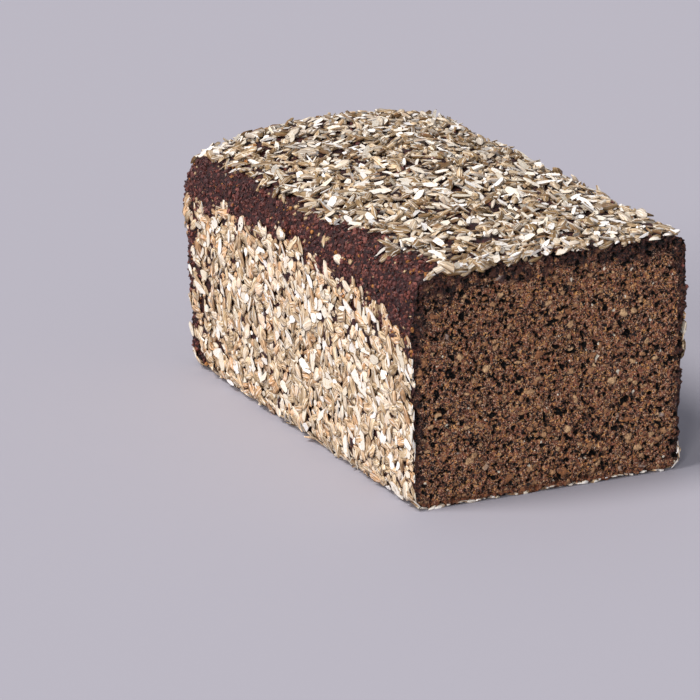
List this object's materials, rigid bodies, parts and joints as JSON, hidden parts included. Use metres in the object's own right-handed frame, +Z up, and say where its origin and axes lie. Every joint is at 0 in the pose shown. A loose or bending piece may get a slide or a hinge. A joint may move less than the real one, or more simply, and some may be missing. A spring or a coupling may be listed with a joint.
{
  "type": "tin loaf",
  "caption": "Dense wholegrain rye loaf baked in a tin and cut across at one end, with an arched top and a coat of cracked grain over its dark crust.",
  "frame": {"origin": "on the surface that the loaf rests on, under the middle of its length and width", "axes": "+Y runs along the loaf from the cut face to the baked far end, +Z is up"},
  "size_m": [0.112, 0.197, 0.0939],
  "materials": {
    "bread": "matte, porous dark crumb and rough crust",
    "grain": "matte husk with chalky white broken faces"
  },
  "bodies": {
    "root": {"loaf": "bread"}
  },
  "joints": []
}
